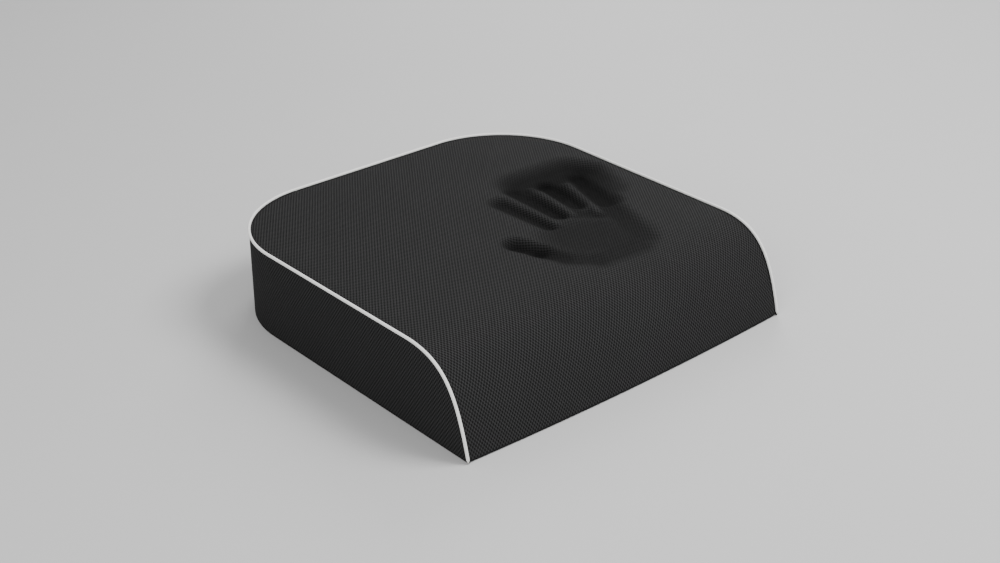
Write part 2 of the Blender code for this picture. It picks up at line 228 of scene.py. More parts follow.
def face_outward(data):
    """Turns a closed mesh's faces outward."""
    shape = bmesh.new()
    shape.from_mesh(data)
    bmesh.ops.recalc_face_normals(shape, faces=shape.faces)
    shape.to_mesh(data)
    shape.free()


def grid_object(name, points, uv, flip=False):
    """A sheet from an array of rows of points, with its (u, v) in metres."""
    rows, columns = points.shape[:2]
    index = np.arange(rows * columns).reshape(rows, columns)
    quads = grid_quads(index)
    if flip:
        quads = quads[:, ::-1]
    piece = mesh_object(name, points.reshape(-1, 3), quads)
    set_uv(piece, uv.reshape(-1, 2))
    return piece


def border(rows, columns):
    """The indices of a grid's outermost points."""
    index = np.arange(rows * columns).reshape(rows, columns)
    edge = np.concatenate([index[0], index[-1], index[:, 0], index[:, -1]])
    return sorted({int(i) for i in edge})


def read_points(data):
    """A mesh's points as an array."""
    points = np.empty(len(data.vertices) * 3, dtype=np.float32)
    data.vertices.foreach_get("co", points)
    return points.reshape(-1, 3).astype(float)


def write_points(data, points):
    """Puts an array of points back into a mesh."""
    data.vertices.foreach_set("co", np.asarray(points, dtype=np.float32).ravel())
    data.update()


def inflate(piece, pinned, pressure, cap):
    """Blows a sheet out between its pinned seams by cloth simulation; no point moves past cap."""
    group = piece.vertex_groups.new(name="seams")
    group.add(pinned, 1.0, "REPLACE")
    cloth = piece.modifiers.new("Cloth", "CLOTH")
    cloth.settings.quality = 5
    cloth.settings.mass = 0.3
    cloth.settings.vertex_group_mass = "seams"
    cloth.settings.use_pressure = True
    cloth.settings.uniform_pressure_force = pressure
    cloth.settings.effector_weights.gravity = 0
    cloth.collision_settings.use_collision = False
    cloth.point_cache.frame_start = 1
    cloth.point_cache.frame_end = 20
    scene = bpy.context.scene
    for moment in range(1, 21):
        scene.frame_set(moment)
    evaluated = piece.evaluated_get(bpy.context.evaluated_depsgraph_get())
    before, after = read_points(piece.data), read_points(evaluated.data)
    move = after - before
    far = np.linalg.norm(move, axis=1)[:, None]
    write_points(piece.data, before + move * cap / (cap + far))
    piece.modifiers.remove(cloth)
    piece.vertex_groups.remove(group)
    scene.frame_set(1)


def apply_modifiers(piece):
    """Turns a piece's modifiers into its mesh."""
    evaluated = piece.evaluated_get(bpy.context.evaluated_depsgraph_get())
    data = bpy.data.meshes.new_from_object(evaluated)
    piece.modifiers.clear()
    piece.data = data


def subdivide(piece):
    """One applied level of smooth subdivision, with the sheet's border kept in place."""
    smooth = piece.modifiers.new("Smooth", "SUBSURF")
    smooth.levels = smooth.render_levels = 1
    smooth.boundary_smooth = "ALL"
    bpy.context.view_layer.update()
    apply_modifiers(piece)


def thicken(piece, thickness):
    """Gives a sheet its thickness, inwards from its outer face."""
    wall = piece.modifiers.new("Thickness", "SOLIDIFY")
    wall.thickness = thickness
    wall.offset = -1
    wall.use_even_offset = False


def join(name, pieces):
    """Joins mesh objects into one."""
    with bpy.context.temp_override(
        active_object=pieces[0], object=pieces[0],
        selected_objects=pieces, selected_editable_objects=pieces,
    ):
        bpy.ops.object.join()
    pieces[0].name = name
    pieces[0].data.name = name
    return pieces[0]


def sweep(name, route, radius, sides, taper=0.0):
    """A tube of constant or end-tapered radius along an array of points, with closed ends."""
    route = np.asarray(route, dtype=float)
    ahead = np.gradient(route, axis=0)
    ahead /= np.linalg.norm(ahead, axis=1)[:, None]
    seed = np.array([0.0, 0.0, 1.0]) if abs(ahead[0][2]) < 0.9 else np.array([1.0, 0.0, 0.0])
    across = np.cross(ahead[0], seed)
    length = np.concatenate([[0], np.cumsum(np.linalg.norm(np.diff(route, axis=0), axis=1))])
    points, uv = [], []
    for place, direction, run in zip(route, ahead, length):
        across = across - direction * np.dot(across, direction)
        across /= np.linalg.norm(across)
        up = np.cross(direction, across)
        end = min(run, length[-1] - run)
        size = radius * (1 if taper == 0 else math.sqrt(min(1.0, 0.12 + end / taper)))
        for step in range(sides):
            turn = 2 * math.pi * step / sides
            points.append(place + size * (math.cos(turn) * across + math.sin(turn) * up))
            uv.append((run, radius * turn))
    rings = len(route)
    faces = []
    for ring in range(rings - 1):
        for step in range(sides):
            a, b = ring * sides + step, ring * sides + (step + 1) % sides
            faces.append((a, b, b + sides, a + sides))
    faces.append(tuple(range(sides))[::-1])
    faces.append(tuple(range((rings - 1) * sides, rings * sides)))
    made = mesh_object(name, points, faces)
    set_uv(made, uv)
    return made


def stitches(name, ends, radius):
    """Short round threads, one for each pair of end points."""
    rings, sides = ((0.0, 0.35), (0.15, 1.0), (0.85, 1.0), (1.0, 0.35)), 6
    points, faces = [], []
    for start, end in ends:
        start, end = Vector(start), Vector(end)
        direction = (end - start).normalized()
        across = direction.orthogonal().normalized()
        up = direction.cross(across)
        first = len(points)
        for share, size in rings:
            for step in range(sides):
                turn = 2 * math.pi * step / sides
                offset = across * math.cos(turn) + up * math.sin(turn)
                points.append(start.lerp(end, share) + offset * radius * size)
        for ring in range(len(rings) - 1):
            for step in range(sides):
                a, b = first + ring * sides + step, first + ring * sides + (step + 1) % sides
                faces.append((a, b, b + sides, a + sides))
        faces.append(tuple(range(first, first + sides))[::-1])
        faces.append(tuple(range(first + 3 * sides, first + 4 * sides)))
    return mesh_object(name, points, faces)


def dress(piece, material, body="cushion", replaces=(), smooth=True):
    """Gives a piece its material, the body it rides on and the CAD nodes it stands for."""
    piece.data.materials.clear()
    piece.data.materials.append(material)
    if smooth:
        piece.data.shade_smooth()
    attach(piece, body)
    if replaces:
        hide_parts(*replaces)
    return piece


# ---------------------------------------------------------------- material helpers
class Nodes:
    """Short names for the nodes of one material."""

    def __init__(self, name, colour, roughness, metallic=0.0):
        self.material = bpy.data.materials.new(name)
        self.material.use_nodes = True
        self.tree = self.material.node_tree
        self.shader = self.tree.nodes["Principled BSDF"]
        self.shader.inputs["Base Color"].default_value = (*colour, 1)
        self.shader.inputs["Roughness"].default_value = roughness
        self.shader.inputs["Metallic"].default_value = metallic

    def put(self, value, socket):
        """Links an output to a socket, or sets the socket to a value."""
        if isinstance(value, bpy.types.NodeSocket):
            self.tree.links.new(value, socket)
        elif value is not None:
            socket.default_value = value

    def math(self, operation, a, b=None, c=None, clamp=False):
        """One Math node's result."""
        node = self.tree.nodes.new("ShaderNodeMath")
        node.operation = operation
        node.use_clamp = clamp
        for value, socket in zip((a, b, c), node.inputs):
            self.put(value, socket)
        return node.outputs[0]

    def uv(self):
        """The cloth's u and v, in metres."""
        source = self.tree.nodes.new("ShaderNodeUVMap")
        source.uv_map = "cloth"
        parts = self.tree.nodes.new("ShaderNodeSeparateXYZ")
        self.tree.links.new(source.outputs[0], parts.inputs[0])
        return parts.outputs[0], parts.outputs[1]

    def place(self):
        """The object's own coordinates, in metres."""
        return self.tree.nodes.new("ShaderNodeTexCoord").outputs["Object"]

    def noise(self, scale, detail=3.0, rough=0.55):
        """Noise over the object's coordinates, from 0 to 1."""
        node = self.tree.nodes.new("ShaderNodeTexNoise")
        node.inputs["Scale"].default_value = scale
        node.inputs["Detail"].default_value = detail
        node.inputs["Roughness"].default_value = rough
        self.tree.links.new(self.place(), node.inputs["Vector"])
        return node.outputs[0]

    def cells(self, scale, feature="F1"):
        """Voronoi distance over the object's coordinates."""
        node = self.tree.nodes.new("ShaderNodeTexVoronoi")
        node.feature = feature
        node.inputs["Scale"].default_value = scale
        self.tree.links.new(self.place(), node.inputs["Vector"])
        return node.outputs["Distance"]

    def ramp(self, value, low, high, to_low=0.0, to_high=1.0):
        """A value carried from one range to another with a soft start and end."""
        node = self.tree.nodes.new("ShaderNodeMapRange")
        node.interpolation_type = "SMOOTHSTEP"
        for socket, number in zip(node.inputs[1:5], (low, high, to_low, to_high)):
            socket.default_value = number
        self.put(value, node.inputs[0])
        return node.outputs[0]

    def mix(self, share, low, high):
        """A colour between two colours."""
        node = self.tree.nodes.new("ShaderNodeMix")
        node.data_type = "RGBA"
        self.put(share, node.inputs[0])
        for value, socket in ((low, node.inputs[6]), (high, node.inputs[7])):
            self.put((*value, 1) if isinstance(value, tuple) else value, socket)
        return node.outputs[2]

    def colour(self, output):
        """Sets the surface's colour."""
        self.tree.links.new(output, self.shader.inputs["Base Color"])

    def roughness(self, output):
        """Sets the surface's roughness."""
        self.tree.links.new(output, self.shader.inputs["Roughness"])

    def bump(self, height, distance, strength=1.0):
        """Raises the surface by a height from 0 to 1 times a distance in metres."""
        node = self.tree.nodes.new("ShaderNodeBump")
        node.inputs["Strength"].default_value = strength
        node.inputs["Distance"].default_value = distance
        self.put(height, node.inputs["Height"])
        self.tree.links.new(node.outputs[0], self.shader.inputs["Normal"])

    def sheen(self, weight, roughness, tint):
        """The soft glow of cloth at a low angle."""
        self.shader.inputs["Sheen Weight"].default_value = weight
        self.shader.inputs["Sheen Roughness"].default_value = roughness
        self.shader.inputs["Sheen Tint"].default_value = (*tint, 1)

    def wave(self, value, period):
        """A cosine of a length, from -1 to 1, once every period."""
        return self.math("COSINE", self.math("MULTIPLY", value, 2 * math.pi / period))


def air_mesh(name, painted_print_shade=False):
    """Black 3-D air mesh: rows of small holes at 45 degrees between rounded knitted ribs, and on the top,
    painted shade that darkens the hand print.
    """
    look = Nodes(name, (0.03, 0.03, 0.03), 0.75)
    u, v = look.uv()
    across, along = look.math("DIVIDE", u, MESH_ACROSS), look.math("DIVIDE", v, MESH_ALONG)
    rise = look.wave(look.math("ADD", across, along), 1.0)
    fall = look.wave(look.math("SUBTRACT", across, along), 1.0)
    lattice = look.math("ADD", rise, fall)
    ribs = look.ramp(lattice, -0.7, 0.9, 1.0, 0.0)
    slanted = look.math("ADD", u, look.math("MULTIPLY", v, 0.35))
    strands = look.math("MULTIPLY", look.wave(slanted, 0.00055), 0.10)
    fuzz = look.noise(900, 2.0)
    tone = look.noise(14, 3.0)
    height = look.math("ADD", ribs, look.math("MULTIPLY", strands, ribs))
    height = look.math("ADD", height, look.math("MULTIPLY", fuzz, 0.25))
    rib_colour = look.mix(tone, (0.033, 0.033, 0.0335), (0.039, 0.039, 0.0396))
    open_share = look.math("MULTIPLY", ribs, look.ramp(fuzz, 0.3, 0.7, 0.75, 1.0))
    surface = look.mix(open_share, (0.009, 0.009, 0.009), rib_colour)
    if painted_print_shade:
        # Painted shade: the hand print's depth share darkens the colour towards near black, where shade falls
        # in the dents.
        depth = look.tree.nodes.new("ShaderNodeAttribute")
        depth.attribute_name = "painted_print_shade"
        shade = look.math("MULTIPLY", look.math("POWER", depth.outputs["Fac"], 0.6), 0.97)
        surface = look.mix(shade, surface, (0.001, 0.001, 0.001))
    look.colour(surface)
    look.bump(height, 0.00045, 0.9)
    look.shader.inputs["Specular IOR Level"].default_value = 0.03
    return look.material


def twill(name, colour, dark, period, slant, depth, roughness=0.8):
    """Woven tape with slanted ribs."""
    look = Nodes(name, colour, roughness)
    u, v = look.uv()
    ribs = look.wave(look.math("ADD", u, look.math("MULTIPLY", v, slant)), period)
    cross = look.wave(look.math("SUBTRACT", u, look.math("MULTIPLY", v, 1 / slant)), period * 0.6)
    height = look.math("ADD", look.math("MULTIPLY", ribs, 0.35), look.math("MULTIPLY", cross, 0.15))
    height = look.math("ADD", height, 0.5)
    tone = look.math("MULTIPLY", look.ramp(height, 0.1, 0.8), look.ramp(look.noise(160), 0.2, 0.8, 0.85, 1.0))
    look.colour(look.mix(tone, dark, colour))
    look.bump(height, depth, 0.8)
    look.sheen(0.15, 0.5, (0.9, 0.9, 0.9))
    return look.material


def plain_weave(name, colour, dark, period, depth, roughness=0.85):
    """Fine plain weave, over and under."""
    look = Nodes(name, colour, roughness)
    u, v = look.uv()
    weave = look.math("MULTIPLY", look.wave(u, period), look.wave(v, period))
    height = look.math("ADD", look.math("MULTIPLY", weave, 0.5), 0.5)
    tone = look.math("MULTIPLY", height, look.ramp(look.noise(90), 0.2, 0.8, 0.75, 1.0))
    look.colour(look.mix(tone, dark, colour))
    look.bump(height, depth, 0.8)
    look.sheen(0.1, 0.5, (0.8, 0.8, 0.8))
    return look.material


def jersey(name, colour, dark):
    """Thin knitted liner: fine wales of small V stitches."""
    look = Nodes(name, colour, 0.9)
    u, v = look.uv()
    column = look.math("FRACT", look.math("DIVIDE", u, 0.0014))
    half = look.math("ABSOLUTE", look.math("SUBTRACT", column, 0.5))
    loops = look.wave(look.math("ADD", v, look.math("MULTIPLY", half, 0.0016)), 0.0010)
    wale = look.ramp(half, 0.0, 0.5, 0.2, 1.0)
    height = look.math("MULTIPLY", look.math("ADD", look.math("MULTIPLY", loops, 0.3), 0.7), wale)
    look.colour(look.mix(height, dark, colour))
    look.bump(height, 0.0003, 0.7)
    look.sheen(0.1, 0.5, (0.8, 0.8, 0.8))
    return look.material


def foam(name, colour, dark, scale):
    """Open-cell foam: fine pores, and a slow change of tone."""
    look = Nodes(name, colour, 0.95)
    pores = look.ramp(look.cells(scale), 0.1, 0.6)
    large = look.ramp(look.cells(scale * 0.37), 0.05, 0.5)
    height = look.math("ADD", look.math("MULTIPLY", pores, 0.6), look.math("MULTIPLY", large, 0.4))
    tone = look.math("MULTIPLY", height, look.ramp(look.noise(18), 0.3, 0.7, 0.8, 1.0))
    look.colour(look.mix(tone, dark, colour))
    look.bump(height, 0.0006, 0.8)
    return look.material


def nylon(name, colour):
    """Moulded or drawn nylon, slightly glossy."""
    look = Nodes(name, colour, 0.4)
    grain = look.noise(700, 2.0)
    look.roughness(look.ramp(grain, 0.2, 0.8, 0.32, 0.5))
    look.colour(look.mix(grain, tuple(0.75 * c for c in colour), colour))
    look.bump(grain, 0.00004, 0.5)
    return look.material


def metal(name, colour):
    """Dark plated zinc, with a fine cast grain and paler worn patches."""
    look = Nodes(name, colour, 0.34, 1.0)
    grain, wear = look.noise(1400, 3.0), look.noise(260, 4.0)
    look.roughness(look.ramp(wear, 0.3, 0.7, 0.26, 0.44))
    look.colour(look.mix(look.ramp(wear, 0.45, 0.75), colour, tuple(1.7 * c for c in colour)))
    look.bump(grain, 0.00003, 0.5)
    return look.material


def rubber(name, colour):
    """The grip dots: soft matt silicone."""
    look = Nodes(name, colour, 0.5)
    grain = look.noise(500, 2.0)
    look.roughness(look.ramp(grain, 0.2, 0.8, 0.4, 0.6))
    look.colour(look.mix(grain, tuple(0.8 * c for c in colour), colour))
    look.bump(grain, 0.00004, 0.4)
    return look.material


def pale_floor():
    """The plain pale studio floor."""
    look = Nodes("studio_floor", (0.55, 0.55, 0.55), 0.7)
    look.colour(look.mix(look.noise(2.5), (0.54, 0.54, 0.54), (0.56, 0.56, 0.56)))
    return look.material


TOP_MESH = air_mesh("air_mesh_top", painted_print_shade=True)
SIDE_MESH = air_mesh("air_mesh_side")
PIPING_TWILL = twill("piping_twill", (0.92, 0.92, 0.90), (0.72, 0.72, 0.70), 0.0011, 0.6, 0.00012)
CORD_TWIST = twill("cord_twist", (0.72, 0.70, 0.64), (0.42, 0.40, 0.36), 0.0016, 1.2, 0.0003)
GRIP_WEAVE = plain_weave("grip_weave", (0.030, 0.030, 0.032), (0.012, 0.012, 0.013), 0.0009, 0.0002)
GRIP_RUBBER = rubber("grip_rubber", (0.045, 0.045, 0.048))
LINER_JERSEY = jersey("liner_jersey", (0.055, 0.055, 0.058), (0.020, 0.020, 0.022))
MEMORY_FOAM = foam("memory_foam", (0.84, 0.76, 0.56), (0.60, 0.50, 0.32), 1100)
SUPPORT_FOAM = foam("support_foam", (0.38, 0.41, 0.46), (0.20, 0.22, 0.26), 700)
ZIP_TAPE = twill("zip_tape", (0.024, 0.024, 0.026), (0.008, 0.008, 0.009), 0.0008, 1.0, 0.00015)
ZIP_NYLON = nylon("zip_nylon", (0.030, 0.030, 0.032))
ZIP_METAL = metal("zip_metal", (0.16, 0.16, 0.17))
LABEL_SATIN = plain_weave("label_satin", (0.80, 0.80, 0.78), (0.66, 0.66, 0.64), 0.0005, 0.00005, 0.5)
BLACK_THREAD = twill("black_thread", (0.045, 0.045, 0.047), (0.015, 0.015, 0.016), 0.0004, 1.5, 0.00005)


# ---------------------------------------------------------------- cover panels
def resample(path, count):
    """A path's points spaced evenly, count of them."""
    length = np.concatenate([[0], np.cumsum(np.linalg.norm(np.diff(path, axis=0), axis=1))])
    at = np.linspace(0, length[-1], count)
    return np.stack([np.interp(at, length, path[:, axis]) for axis in range(path.shape[1])], axis=1)


def top_points(rows, columns):
    """The skin's points and (u, v) for rows across the top, columns steps wide.

    The rows run straight across as far as the back corners. From there they bend, so that the
    last row follows the back edge from the middle of one rounded corner to the middle of the other.
    """
    first = int(np.argmin(np.abs(rows[:, 0] - CORNER_Y)))
    last = first + (len(rows) - 1 - first) // 2
    share = np.linspace(0, 1, columns + 1)[None, :, None]
    straight = rows[: first + 1]
    x = straight[:, 2:3] * np.linspace(-1, 1, columns + 1)[None, :]
    y = np.repeat(straight[:, 0:1], columns + 1, axis=1)
    side = rows[first:last + 1, [2, 0]]
    mirror = side * (-1, 1)
    arc = rows[last:, [2, 0]]
    back = resample(np.concatenate([arc * (-1, 1), arc[::-1]]), columns + 1)
    rise = np.linspace(0, 1, len(side))[:, None, None]
    front = np.stack([x[-1], y[-1]], axis=-1)
    bent = (1 - rise) * front + rise * back + (1 - share) * mirror[:, None] + share * side[:, None]
    bent = bent - (1 - rise) * ((1 - share) * mirror[0] + share * side[0])
    bent = bent - rise * ((1 - share) * mirror[-1] + share * side[-1])
    x = np.concatenate([x, bent[1:, :, 0]])
    y = np.concatenate([y, bent[1:, :, 1]])
    z = np.repeat(rows[: last + 1, 1:2], columns + 1, axis=1)
    v = np.repeat(straight[:, 3:4], columns + 1, axis=1)
    v = np.concatenate([v, straight[-1, 3] + bent[1:, :, 1] - straight[-1, 0]])
    return np.stack([x, bow(x, y, z), z], axis=-1), np.stack([x, v], axis=-1)


def press(points, lift=0.0):
    """Lowers the points of the flat top by the hand print, and gives how far, from 0 to 1."""
    share = print_share(points[:, 0], points[:, 1])
    share = share * smoothstep((points[:, 2] - 0.5 * HEIGHT) / 0.02)
    points[:, 2] -= share * (PRINT_DEPTH - lift)
    return share


def make_top():
    """The top: one sheet, crowned, rolled over the front and sunk at its seams and hand print."""
    rows = skin_rows(TUCK)
    columns = round(2 * HALF_WIDTH / SIM_SPACING)
    points, uv = top_points(rows, columns)
    top = grid_object("cover_top", points, uv)
    inflate(top, border(*points.shape[:2]), 4.0, CROWN_CAP)
    subdivide(top)
    points = read_points(top.data)
    inside = edge_distance(points[:, 0], points[:, 1], TUCK)
    sink = 0.0006 * np.exp(-((np.maximum(inside, 0) / 0.0035) ** 2))
    points[:, 2] -= sink * smoothstep(points[:, 2] / 0.06)
    share = press(points)
    write_points(top.data, points)
    # The print's depth share goes to the top's material, which darkens the dents with painted shade.
    mark = top.data.attributes.new("painted_print_shade", "FLOAT", "POINT")
    mark.data.foreach_set("value", share.astype(np.float32))
    thicken(top, FABRIC)
    dress(top, TOP_MESH, replaces=["top_panel"])


def make_side(side):
    """The border from the front corner along one side and round the corner to the back strips."""
    rows = skin_rows(0.0)
    steps = 15
    points = np.zeros((len(rows), steps + 1, 3))
    uv = np.zeros((len(rows), steps + 1, 2))
    run = 0.0
    last = None
    for place, (y, z, across, _) in enumerate(rows):
        if last is not None:
            run += math.hypot(y - last[0], across - last[1])
        last = (y, across)
        high = max(z - 0.0012, SEAM_Z + HEM_DROP)
        for step in range(steps + 1):
            height = SEAM_Z - HEM_DROP + (high - SEAM_Z + HEM_DROP) * step / steps
            points[place, step] = (side * (across - CLEARANCE), y, height)
            uv[place, step] = (run, height)
    piece = grid_object("cover_side_left" if side < 0 else "cover_side_right", points, uv, flip=side > 0)
    inflate(piece, border(*points.shape[:2]), 5.0, CROWN_CAP)
    points = read_points(piece.data)
    beside_zip = 1 - smoothstep((np.abs(points[:, 0]) - STRIP_REACH - 0.015) / 0.03)
    proud = np.maximum(points[:, 1] - HALF_DEPTH, 0)
    points[:, 1] -= 0.8 * proud * beside_zip
    write_points(piece.data, points)
    subdivide(piece)
    thicken(piece, FABRIC)
    node = "left_side_panel" if side < 0 else "right_side_panel"
    dress(piece, SIDE_MESH, replaces=[node])


def make_strip(name, low, high, hem_low, node):
    """A back strip: flat, with its edge at the zip turned in as a soft hem."""
    x_steps = round(2 * STRIP_REACH / 0.004)
    x = np.linspace(-STRIP_REACH, STRIP_REACH, x_steps + 1)
    hem = [(0.0, -0.0021), (-0.0005, -0.0014), (-0.0004, -0.0006), (0.0002, -0.0001), (0.0012, 0.0)]
    tall = high - low
    levels = [(0.0012 + (tall - 0.0014) * step / 10, 0.0) for step in range(1, 11)]
    line = hem + levels
    if not hem_low:
        line = [(tall - a, b) for a, b in line][::-1]
    points = np.zeros((len(line), len(x), 3))
    uv = np.zeros((len(line), len(x), 2))
    for place, (up, back) in enumerate(line):
        ripple = 0.00012 * np.sin(x * 170 + 2.0 * up / tall) * (1 if back > -0.001 else 0)
        points[place, :, 0] = x
        points[place, :, 1] = HALF_DEPTH - 0.0002 + back + ripple
        points[place, :, 2] = low + up
        uv[place, :, 0] = x
        uv[place, :, 1] = low + up - back
    piece = grid_object(name, points, uv, flip=True)
    subdivide(piece)
    thicken(piece, 0.0016)
    dress(piece, SIDE_MESH, replaces=[node])


def make_bottom():
    """The underside: flat woven fabric, to the front seam's bow."""
    rows = skin_rows(0.0026)
    start = rows[0][0]
    keep = [(y, across) for y, z, across, _ in rows if z > 0.6 * HEIGHT]
    front = [(start + (keep[0][0] - start) * step / 6, keep[0][1]) for step in range(6)]
    line = np.array(front + keep)
    columns = 70
    share = np.linspace(-1, 1, columns + 1)[None, :]
    x = line[:, 1:2] * share
    y = np.repeat(line[:, 0:1], columns + 1, axis=1)
    z = np.full_like(x, 0.0005)
    y = bow(x, y, z)
    points = np.stack([x, y, z], axis=-1)
    uv = np.stack([x, y], axis=-1)
    piece = grid_object("cover_bottom", points, uv, flip=True)
    thicken(piece, 0.0012)
    dress(piece, GRIP_WEAVE, replaces=["bottom_panel"])


def make_grip_dots():
    """Small domes in a staggered lattice over the underside."""
    pitch, radius, rise, sides = 0.0085, 0.0014, 0.0005, 8
    points, faces = [], []
    count = round(2 * HALF_DEPTH / pitch * 2)
    for row in range(count):
        y = -HALF_DEPTH + 0.012 + row * pitch / 2
        shift = 0.5 * (row % 2)
        for column in range(-30, 31):
            x = (column + shift) * pitch
            inside = edge_distance(np.array([x]), np.array([y]), 0.0)[0]
            if inside < 0.014:
                continue
            first = len(points)
            for size, drop in ((1.0, 0.0), (0.8, 0.6), (0.4, 0.95)):
                for step in range(sides):
                    turn = 2 * math.pi * step / sides
                    at = (x + radius * size * math.cos(turn), y + radius * size * math.sin(turn))
                    points.append((*at, rise * (1 - drop)))
            for ring in range(2):
                for step in range(sides):
                    a, b = first + ring * sides + step, first + ring * sides + (step + 1) % sides
                    faces.append((a, a + sides, b + sides, b))
            faces.append(tuple(range(first + 2 * sides, first + 3 * sides))[::-1])
            faces.append(tuple(range(first, first + sides)))
    return dress(mesh_object("grip_dots", points, faces), GRIP_RUBBER)


# ---------------------------------------------------------------- piping
def seam_route(inset, spacing):
    """The piping's line: up the left of the front, round the back and down on the right."""
    rows = skin_rows(inset, spacing)
    left = np.stack([-rows[:, 2], rows[:, 0], rows[:, 1]], axis=1)
    right = np.stack([rows[:, 2], rows[:, 0], rows[:, 1]], axis=1)[::-1]
    back = np.linspace(left[-1], right[0], round(2 * STRIP_REACH / spacing) + 1)[1:-1]
    return np.concatenate([left, back, right])


def make_piping():
    """White piping in the seam round the top: a twill sleeve over a filler cord."""
    route = seam_route(0.0004, 0.003)
    sleeve = sweep("piping_cover", route, PIPING_RADIUS, 14, taper=0.003)
    dress(sleeve, PIPING_TWILL, replaces=["piping_sleeve"])
    cord = sweep("piping_filler", route, FILLER_RADIUS, 8)
    dress(cord, CORD_TWIST, replaces=["piping_cord"])


# ---------------------------------------------------------------- core
def core_mesh(name, inset, low):
    """A closed block with the skin's shape moved in by inset, standing on a level."""
    rows = skin_rows(inset, 0.008)
    rows = rows[rows[:, 1] > low + 0.0005]
    foot = rows[0].copy()
    foot[1] = low
    rows = np.concatenate([[foot], rows])
    columns = 54
    points, uv = top_points(rows, columns)
    high, wide = points.shape[:2]
    flat, uv = points.reshape(-1, 3), uv.reshape(-1, 2)
    press(flat, lift=0.0008)
    index = np.arange(high * wide).reshape(high, wide)
    quads = grid_quads(index)
    loop = np.concatenate([index[1:, 0], index[-1, 1:-1], index[::-1, -1][:-1]])
    under = flat[loop].copy()
    under[:, 2] = low
    count = len(loop)
    feet = np.arange(high * wide, high * wide + count)
    ring = [int(index[0, 0]), *[int(i) for i in feet], int(index[0, -1])]
    upper = [int(index[0, 0]), *[int(i) for i in loop], int(index[0, -1])]
    faces = [tuple(q) for q in quads]
    for step in range(1, len(ring) - 2):
        faces.append((upper[step], upper[step + 1], ring[step + 1], ring[step]))
    faces.append((ring[0], upper[1], ring[1]))
    faces.append((ring[-1], ring[-2], upper[-2]))
    faces.append(tuple(ring + [int(i) for i in index[0, 1:-1]][::-1]))
    made = mesh_object(name, np.concatenate([flat, under]), faces)
    set_uv(made, np.concatenate([uv, under[:, :2] + 0.2]))
    face_outward(made.data)
    return made


def halve(piece, level, keep_above):
    """Cuts a closed block flat at a level and closes the cut."""
    shape = bmesh.new()
    shape.from_mesh(piece.data)
    whole = shape.verts[:] + shape.edges[:] + shape.faces[:]
    cut = bmesh.ops.bisect_plane(
        shape, geom=whole, plane_co=(0, 0, level), plane_no=(0, 0, 1),
        clear_inner=keep_above, clear_outer=not keep_above,
    )
    rim = [item for item in cut["geom_cut"] if isinstance(item, bmesh.types.BMEdge)]
    bmesh.ops.holes_fill(shape, edges=rim, sides=0)
    bmesh.ops.recalc_face_normals(shape, faces=shape.faces)
    shape.to_mesh(piece.data)
    shape.free()


def make_core():
    """The two bonded foam layers, and the knitted sock round them."""
    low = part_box("foam_base_layer")[0][2]
    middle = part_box("foam_base_layer")[1][2]
    inset = HALF_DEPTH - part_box("foam_top_layer")[1][1]
    for name, level, above, node, material, slot in (
        ("foam_base", middle, False, "foam_base_layer", SUPPORT_FOAM, "support_foam"),
        ("foam_top", middle + CLEARANCE, True, "foam_top_layer", MEMORY_FOAM, "memory_foam"),
    ):
        block = core_mesh(name, inset, low)
        halve(block, level, above)
        soft = block.modifiers.new("Soft edges", "BEVEL")
        soft.width = 0.0025
        soft.segments = 3
        soft.limit_method = "ANGLE"
        soft.angle_limit = math.radians(50)
        dress(block, material, replaces=[node])
    sock = core_mesh("inner_sock", inset - 0.0012, low - 0.0010)
    wall = sock.modifiers.new("Thickness", "SOLIDIFY")
    wall.thickness = 0.0006
    wall.offset = 1
    dress(sock, LINER_JERSEY, replaces=["inner_liner"])


# ---------------------------------------------------------------- zip
def make_tape(name, node):
    """A woven zip tape, flat with a faint ripple."""
    low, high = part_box(node)
    above = low[2] > CHAIN_Z
    x = np.linspace(low[0], high[0], 81)
    line = np.linspace(low[2] + 0.0001, high[2] - 0.0001, 13)
    grid_x, grid_z = np.meshgrid(x, line)
    wobble = 0.00006 * np.sin(grid_x * 260 + (1 if above else 2))
    y = np.full_like(grid_x, high[1] - 0.0001) + wobble
    points = np.stack([grid_x, y, grid_z], axis=-1)
    uv = np.stack([grid_x, grid_z], axis=-1)
    piece = grid_object(name, points, uv, flip=True)
    thicken(piece, 0.00045)
    dress(piece, ZIP_TAPE, replaces=[node])


def make_coil(name, node, side):
    """One row of the nylon coil: a flattened spiral sewn to its tape."""
    low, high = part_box(node)
    pitch, wire, per_turn = 0.00127, 0.00030, 12
    turns = int((high[0] - low[0]) / pitch)
    centre_y = (low[1] + high[1]) / 2
    reach_y = (high[1] - low[1]) / 2 - wire
    inner, outer = 0.0004 + wire, 0.0030 - wire
    middle, reach_z = (inner + outer) / 2, (outer - inner) / 2
    route = []
    for step in range(turns * per_turn + 1):
        turn = 2 * math.pi * step / per_turn
        x = low[0] + 0.0002 + (high[0] - low[0] - 0.0004) * step / (turns * per_turn)
        up = math.copysign(abs(math.sin(turn)) ** 0.8, math.sin(turn))
        z = CHAIN_Z + side * (middle - reach_z * math.cos(turn))
        route.append((x, centre_y + reach_y * up, z))
    piece = sweep(name, route, wire, 6)
    dress(piece, ZIP_NYLON, replaces=[node])
    ends = []
    for step in range(turns // 2):
        x = low[0] + (step * 2 + 0.6) * pitch
        for level in (0.0014, 0.0023):
            z = CHAIN_Z + side * level
            ends.append(((x, high[1] + 0.00002, z), (x + 1.5 * pitch, high[1] + 0.00002, z)))
    thread = stitches(name + "_stitching", ends, 0.00013)
    dress(thread, BLACK_THREAD)


